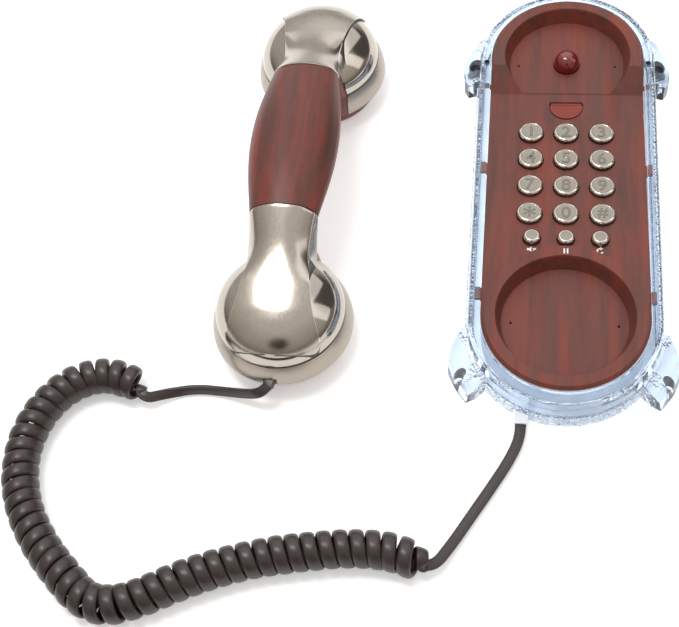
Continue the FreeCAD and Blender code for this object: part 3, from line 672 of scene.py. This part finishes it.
def build_dome(name, end):
    prof = [(28.2, SEAM + 0.05), (29.6, SEAM + 0.02), (29.9, SEAM + 0.12), (30.0, SEAM + 0.4)]
    for k in range(2, 41):
        a = math.radians(90.0 * k / 40)
        prof.append((max(0.02, 30.0 * math.cos(a)), SEAM + 20.0 * math.sin(a)))
    n = 128
    rings = []
    for r, z in prof:
        rings.append([Vector(hpt(r * math.cos(2 * math.pi * j / n), end * (S2 + r * math.sin(2 * math.pi * j / n)), z)) * MM for j in range(n)])
    v, f = loft(rings)
    o = new_obj(name, v, f, M["nickel_dome"], smooth=True, sharp=40)
    fix_normals(o)
    # the grip side gives way to the web under the neck
    cr = []
    for r, z, w in ((27.5, 21.0, 17.2), (36.0, 21.0, 17.2), (36.0, 39.0, 14.3), (27.5, 39.0, 14.3)):
        ring = []
        for q in range(25):
            u = -w + 2 * w * q / 24
            sc = S2 - math.sqrt(r * r - u * u)
            ring.append(Vector(hpt(u, end * sc, z)) * MM)
        cr.append(ring)
    cv, cf = [], []
    for q in range(25):
        cv += [cr[k][q] for k in range(4)]
    for q in range(24):
        for k in range(4):
            cf.append((q * 4 + k, q * 4 + (k + 1) % 4, (q + 1) * 4 + (k + 1) % 4, (q + 1) * 4 + k))
    cf.append((0, 1, 2, 3))
    cf.append((96 + 3, 96 + 2, 96 + 1, 96))
    c = new_obj(name + "_cut", cv, cf, M["nickel_dome"], smooth=False)
    fix_normals(c)
    md = o.modifiers.new("cut", "BOOLEAN")
    md.operation = "DIFFERENCE"
    md.solver = "EXACT"
    md.object = c
    bpy.context.view_layer.update()
    dg = bpy.context.evaluated_depsgraph_get()
    me = bpy.data.meshes.new_from_object(o.evaluated_get(dg))
    o.modifiers.clear()
    o.data = me
    for p in me.polygons:
        p.use_smooth = True
    me.set_sharp_from_angle(angle=math.radians(40))
    bpy.data.objects.remove(c)
    return o

for nm, end, node in (("ear", 1, "ear_shell"), ("mouth", -1, "mouth_shell")):
    d = build_dome(nm + "_dome", end)
    s = build_strap(nm + "_strap", end)
    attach(d, "handset")
    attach(s, "handset")
    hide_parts(node)

# ------------------------------------------------------------------ bead trim
def stadium_path(R, step, yc=S2):
    L = 2 * math.pi * R + 4 * yc
    n = int(round(L / step))
    out = []
    for i in range(n):
        d = L * i / n
        if d < 2 * yc:
            out.append(((R, -yc + d), (1, 0)))
        elif d < 2 * yc + math.pi * R:
            a = (d - 2 * yc) / R
            out.append(((R * math.cos(a), yc + R * math.sin(a)), (math.cos(a), math.sin(a))))
        elif d < 4 * yc + math.pi * R:
            q = d - 2 * yc - math.pi * R
            out.append(((-R, yc - q), (-1, 0)))
        else:
            a = math.pi + (d - 4 * yc - math.pi * R) / R
            out.append(((R * math.cos(a), -yc + R * math.sin(a)), (math.cos(a), math.sin(a))))
    return out

def build_beads():
    """Two rows of faceted crystals pressed into a strip."""
    v, f = [], []
    for row, z in enumerate((3.95, 5.45)):
        P = stadium_path(41.85, 1.62)
        for i, ((x, y), (nx, ny)) in enumerate(P):
            if y < -100 and abs(x - SLOT_X) < 4.2:
                continue
            if y > 100 and abs(x) < 8.2:
                continue
            r, h = 0.74, 0.70
            tx, ty = -ny, nx
            c = len(v)
            ang0 = 0.35 * ((i * 7 + row * 3) % 5)
            for k in range(6):
                a = ang0 + k * math.pi / 3
                v.append(((x + tx * r * math.cos(a)) * MM, (y + ty * r * math.cos(a)) * MM, (z + r * math.sin(a)) * MM))
            for k in range(6):
                a = ang0 + k * math.pi / 3
                q = 0.45
                v.append(((x + nx * h + tx * q * r * math.cos(a)) * MM, (y + ny * h + ty * q * r * math.cos(a)) * MM, (z + q * r * math.sin(a)) * MM))
            v.append(((x - nx * h) * MM, (y - ny * h) * MM, z * MM))
            for k in range(6):
                f.append((c + k, c + (k + 1) % 6, c + 6 + (k + 1) % 6, c + 6 + k))
                f.append((c + (k + 1) % 6, c + k, c + 12))
            f.append(tuple(c + 6 + k for k in range(6)))
    o = new_obj("bead_crystals", v, f, M["bead_s"], smooth=False)
    fix_normals(o)
    return o

def bead_silver():
    m, nt, b = mat("bead_silver")
    c = coords(nt)
    n1 = nd(nt, "ShaderNodeTexVoronoi")
    n1.inputs["Scale"].default_value = 700.0
    nt.links.new(c.outputs[0], n1.inputs["Vector"])
    # near-black to near-white random cells painted into the base colour as facet glints and dark reflections
    r = ramp(nt, [(0.0, (0.03, 0.03, 0.035)), (0.45, (0.20, 0.21, 0.24)), (1.0, (0.85, 0.87, 0.92))])
    nt.links.new(n1.outputs["Color"], r.inputs["Fac"])
    nt.links.new(r.outputs["Color"], b.inputs["Base Color"])
    b.inputs["Metallic"].default_value = 0.85
    vary_rough(nt, b, c, 300.0, 0.15, 0.35)
    return m
M["bead_s"] = bead_silver()
beads = build_beads()
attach(beads, "base")
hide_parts("bead_trim")

# ------------------------------------------------------------------ digits and icons
def ramp_point(x, y, h):
    d = (RAMP_Y0 - y) / ca
    return Vector((x, y + h * sa, RAMP_Z0 + d * sa + h * ca))

def text_mesh(name, ch_, size, depth, offset, m, bevel=0.0):
    cu = bpy.data.curves.new(name, "FONT")
    cu.body = ch_
    cu.size = size * MM
    cu.align_x = "CENTER"
    cu.align_y = "CENTER"
    cu.extrude = depth * MM
    cu.offset = offset * MM
    cu.bevel_depth = bevel * MM
    cu.bevel_resolution = 1
    cu.resolution_u = 5
    o = bpy.data.objects.new(name, cu)
    bpy.context.scene.collection.objects.link(o)
    bpy.context.view_layer.update()
    me = bpy.data.meshes.new_from_object(o)
    bpy.data.objects.remove(o)
    xs = [v.co.x for v in me.vertices]; ys = [v.co.y for v in me.vertices]
    cx, cy = (min(xs) + max(xs)) / 2, (min(ys) + max(ys)) / 2
    me.transform(Matrix.Translation((-cx, -cy, 0)))
    return me

ROWS = [30.41, 13.51, -3.39, -20.29]
KEYS = [("key_1", "1", -1, 0), ("key_2", "2", 0, 0), ("key_3", "3", 1, 0), ("key_4", "4", -1, 1), ("key_5", "5", 0, 1), ("key_6", "6", 1, 1),
        ("key_7", "7", -1, 2), ("key_8", "8", 0, 2), ("key_9", "9", 1, 2), ("key_star", "*", -1, 3), ("key_0", "0", 0, 3), ("key_hash", "#", 1, 3)]
tilt = Matrix.Rotation(-RAMP, 4, "X")
for node, c_, i, j in KEYS:
    size = 9.3 if c_ not in "*#" else (13.5 if c_ == "*" else 8.4)
    # each digit sits on a slightly larger dark outline, painted shade along its edges
    for part, off, dep, h, m in (("edge", 0.10, 0.02, 2.30, M["digit_edge_painted_shade"]), ("digit", -0.06, 0.05, 2.32, M["digit"])):
        me = text_mesh(node + "_" + part, c_, size, dep, off, m)
        me.transform(Matrix.Translation(ramp_point(i * 17.0, ROWS[j], h) * MM) @ tilt)
        me.materials.clear()
        me.materials.append(m)
        o = bpy.data.objects.new(node + "_" + part, me)
        bpy.context.scene.collection.objects.link(o)
        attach(o, node)

def key_mesh(node, x, y, prof, highlight_rows):
    """Turned key; its bevel rows get a lighter nickel as a painted highlight."""
    n = 96
    v, f = [], []
    for r, h in prof:
        for q in range(n):
            a = 2 * math.pi * q / n
            v.append(ramp_point(x + r * math.cos(a), y, h) * MM + Vector((0, r * math.sin(a) * ca, -r * math.sin(a) * sa)) * MM)
    for k in range(len(prof) - 1):
        for q in range(n):
            f.append((k * n + q, k * n + (q + 1) % n, (k + 1) * n + (q + 1) % n, (k + 1) * n + q))
    f.append(tuple(range(n - 1, -1, -1)))
    k = (len(prof) - 1) * n
    f.append(tuple(range(k, k + n)))
    o = new_obj(node + "_cap", v, f, M["key"], body=node, smooth=True, sharp=28)
    # the bevel rows take the lighter nickel: painted highlight
    o.data.materials.append(M["key_rim_painted_highlight"])
    for p in o.data.polygons:
        row = min(p.vertices) // n
        if highlight_rows[0] <= row <= highlight_rows[1] and len(p.vertices) == 4:
            p.material_index = 1
    fix_normals(o)
    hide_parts(node)
    return o

PROF = [(7.05, -3.4), (7.05, -2.6), (6.0, -2.6), (6.0, 1.35), (5.93, 1.58), (5.55, 2.06), (5.2, 2.28), (4.98, 2.33), (4.85, 2.24), (4.72, 2.20), (2.0, 2.29), (0.05, 2.31)]
PROF_S = [(4.95, -3.4), (4.95, -2.6), (4.0, -2.6), (4.0, 1.6), (3.93, 1.85), (3.3, 2.72), (3.05, 2.86), (2.8, 2.90), (0.05, 2.97)]
for node, c_, i, j in KEYS:
    key_mesh(node, i * 17.0, ROWS[j], PROF, (4, 7))
for node, i in (("key_mute", -1), ("key_pause", 0), ("key_redial", 1)):
    key_mesh(node, i * 15.7, -34.67, PROF_S, (4, 6))
# a small raised dot on the 5, in the lighter painted-highlight nickel
dv, df = [], []
for k in range(7):
    a = math.pi / 2 * k / 6
    for q in range(16):
        t_ = 2 * math.pi * q / 16
        dv.append((ramp_point(0.0 + 0.5 * math.cos(a) * math.cos(t_), 13.51 - 0.1 + 0.5 * math.cos(a) * math.sin(t_), 2.30 + 0.35 * math.sin(a))) * MM)
for k in range(6):
    for q in range(16):
        df.append((k * 16 + q, k * 16 + (q + 1) % 16, (k + 1) * 16 + (q + 1) % 16, (k + 1) * 16 + q))
dot = new_obj("key_5_dot", dv, df, M["key_rim_painted_highlight"], body="key_5")

def flat_icon(name, polys, x, y, z, tiltm, m, body="base", depth=0.05):
    v, f = [], []
    for poly in polys:
        c = len(v)
        n = len(poly)
        for (px, py) in poly:
            v.append(Vector((px, py, -depth)))
        for (px, py) in poly:
            v.append(Vector((px, py, depth)))
        f.append(tuple(c + n + k for k in range(n)))
        f.append(tuple(c + n - 1 - k for k in range(n)))
        for k in range(n):
            f.append((c + k, c + (k + 1) % n, c + n + (k + 1) % n, c + n + k))
    T = Matrix.Translation((x, y, z)) @ tiltm @ Matrix.Diagonal((1.35, 1.35, 1.0, 1.0))
    v = [(T @ q) * MM for q in v]
    o = new_obj(name, v, f, m, body=body, smooth=False)
    return o

def bar_poly(x0, y0, x1, y1, w):
    d = Vector((x1 - x0, y1 - y0)); d.normalize()
    n = Vector((-d.y, d.x)) * w / 2
    return [(x0 + n.x, y0 + n.y), (x0 - n.x, y0 - n.y), (x1 - n.x, y1 - n.y), (x1 + n.x, y1 + n.y)]

def arc_polys(cx, cy, r, a0, a1, w, n=14):
    out = []
    for k in range(n):
        p, q = math.radians(a0 + (a1 - a0) * k / n), math.radians(a0 + (a1 - a0) * (k + 1) / n)
        out.append([(cx + (r - w / 2) * math.cos(p), cy + (r - w / 2) * math.sin(p)), (cx + (r + w / 2) * math.cos(p), cy + (r + w / 2) * math.sin(p)),
                    (cx + (r + w / 2) * math.cos(q), cy + (r + w / 2) * math.sin(q)), (cx + (r - w / 2) * math.cos(q), cy + (r - w / 2) * math.sin(q))])
    return out

mute = [[(-1.5, -0.45), (-0.8, -0.45), (-0.8, 0.45), (-1.5, 0.45)], [(-0.75, -0.45), (0.0, -1.1), (0.0, 1.1), (-0.75, 0.45)],
        bar_poly(0.45, -0.6, 1.6, 0.6, 0.3), bar_poly(0.45, 0.6, 1.6, -0.6, 0.3)]
pause = [bar_poly(-0.55, -1.0, -0.55, 1.0, 0.5), bar_poly(0.55, -1.0, 0.55, 1.0, 0.5)]
redial = arc_polys(0, 0, 1.0, 75, 335, 0.5) + [[(-0.05, 0.35), (0.95, 1.0), (-0.05, 1.7)]]
flat_icon("icon_mute", mute, -15.7, -41.0, ramp_point(0, -41.0, 0.03).z, tilt, M["white"])
flat_icon("icon_pause", pause, 0.0, -42.9, 23.03, Matrix.Identity(4), M["white"])
flat_icon("icon_redial", redial, 15.7, -41.0, ramp_point(0, -41.0, 0.03).z, tilt, M["white"])

# ------------------------------------------------------------------ stage and light
def stage_plane():
    v = [(-3, -3, 0), (3, -3, 0), (3, 3, 0), (-3, 3, 0)]
    me = bpy.data.meshes.new("floor")
    bm = bmesh.new()
    bmesh.ops.create_grid(bm, x_segments=8, y_segments=8, size=3.0)
    bm.to_mesh(me); bm.free()
    o = bpy.data.objects.new("floor", me)
    bpy.context.scene.collection.objects.link(o)
    o.location = (0, 0, -0.0004)
    m, nt, b = mat("floor_white")
    c = coords(nt)
    n1 = noise(nt, c, 3.0)
    r = ramp(nt, [(0.3, (0.90, 0.90, 0.90)), (0.7, (0.93, 0.93, 0.93))])
    nt.links.new(n1.outputs["Fac"], r.inputs["Fac"])
    nt.links.new(r.outputs["Color"], b.inputs["Base Color"])
    b.inputs["Roughness"].default_value = 0.8
    b.inputs["Specular IOR Level"].default_value = 0.2
    b.inputs["Emission Color"].default_value = (1, 1, 1, 1)
    b.inputs["Emission Strength"].default_value = 0.32
    me.materials.append(m)
stage_plane()

w = bpy.data.worlds.new("studio")
bpy.context.scene.world = w
w.use_nodes = True
wn = w.node_tree
bg = wn.nodes["Background"]
tc = nd(wn, "ShaderNodeTexCoord")
sx = nd(wn, "ShaderNodeSeparateXYZ")
wn.links.new(tc.outputs["Generated"], sx.inputs[0])
def wmap(sock, a, b):
    mr_ = nd(wn, "ShaderNodeMapRange", interpolation_type="SMOOTHSTEP")
    mr_.inputs["From Min"].default_value = a
    mr_.inputs["From Max"].default_value = b
    wn.links.new(sock, mr_.inputs["Value"])
    return mr_
south = ramp(wn, [(0.44, (0.34, 0.34, 0.34)), (0.53, (0.22, 0.205, 0.19)), (0.66, (0.60, 0.55, 0.49)), (0.80, (0.70, 0.66, 0.61)), (0.92, (0.92, 0.90, 0.88))])
north = ramp(wn, [(0.48, (0.60, 0.60, 0.60)), (0.56, (0.66, 0.65, 0.64)), (0.80, (0.72, 0.72, 0.72)), (0.95, (0.90, 0.90, 0.90))])
zz = wmap(sx.outputs["Z"], -1.0, 1.0)
zz.interpolation_type = "LINEAR"
wn.links.new(zz.outputs["Result"], south.inputs["Fac"])
wn.links.new(zz.outputs["Result"], north.inputs["Fac"])
yy = wmap(sx.outputs["Y"], 0.05, 0.62)
wmx = nd(wn, "ShaderNodeMix", data_type="RGBA")
wn.links.new(yy.outputs["Result"], wmx.inputs["Factor"])
wn.links.new(south.outputs["Color"], wmx.inputs["A"])
wn.links.new(north.outputs["Color"], wmx.inputs["B"])
# a dark figure in the south, as a room has
dp = nd(wn, "ShaderNodeVectorMath", operation="DOT_PRODUCT")
wn.links.new(tc.outputs["Generated"], dp.inputs[0])
dp.inputs[1].default_value = Vector((0.02, -0.86, 0.50)).normalized()
blob = wmap(dp.outputs["Value"], 0.962, 0.982)
wmx2 = nd(wn, "ShaderNodeMix", data_type="RGBA")
wn.links.new(blob.outputs["Result"], wmx2.inputs["Factor"])
wn.links.new(wmx.outputs["Result"], wmx2.inputs["A"])
wmx2.inputs["B"].default_value = (0.045, 0.04, 0.038, 1)
# and a darker corner in the north-east
dp2 = nd(wn, "ShaderNodeVectorMath", operation="DOT_PRODUCT")
wn.links.new(tc.outputs["Generated"], dp2.inputs[0])
dp2.inputs[1].default_value = Vector((0.72, 0.58, 0.36)).normalized()
blob2 = wmap(dp2.outputs["Value"], 0.84, 0.95)
wmx3 = nd(wn, "ShaderNodeMix", data_type="RGBA")
wn.links.new(blob2.outputs["Result"], wmx3.inputs["Factor"])
wn.links.new(wmx2.outputs["Result"], wmx3.inputs["A"])
wmx3.inputs["B"].default_value = (0.13, 0.12, 0.115, 1)
wn.links.new(wmx3.outputs["Result"], bg.inputs["Color"])
bg.inputs["Strength"].default_value = 0.95

def area(name, loc, target, size, power, size_y=None, color=(1, 1, 1)):
    l = bpy.data.lights.new(name, "AREA")
    l.energy = power
    l.color = color
    l.shape = "RECTANGLE"
    l.size = size
    l.size_y = size_y or size
    o = bpy.data.objects.new(name, l)
    bpy.context.scene.collection.objects.link(o)
    o.location = loc
    d = Vector(target) - Vector(loc)
    o.rotation_euler = d.to_track_quat("-Z", "Y").to_euler()
    return o
area("north_box", (0.0, 1.25, 1.45), (-0.04, 0, 0), 2.9, 17.0, 2.0)
area("top_box", (-0.38, 0.04, 1.28), (-0.13, -0.04, 0), 0.23, 6.2, 0.56)
area("side_box", (1.05, 0.10, 0.80), (0, 0, 0), 0.5, 1.6, 1.1)
bpy.context.scene.view_settings.view_transform = "Standard"
bpy.context.scene.view_settings.exposure = 0.0
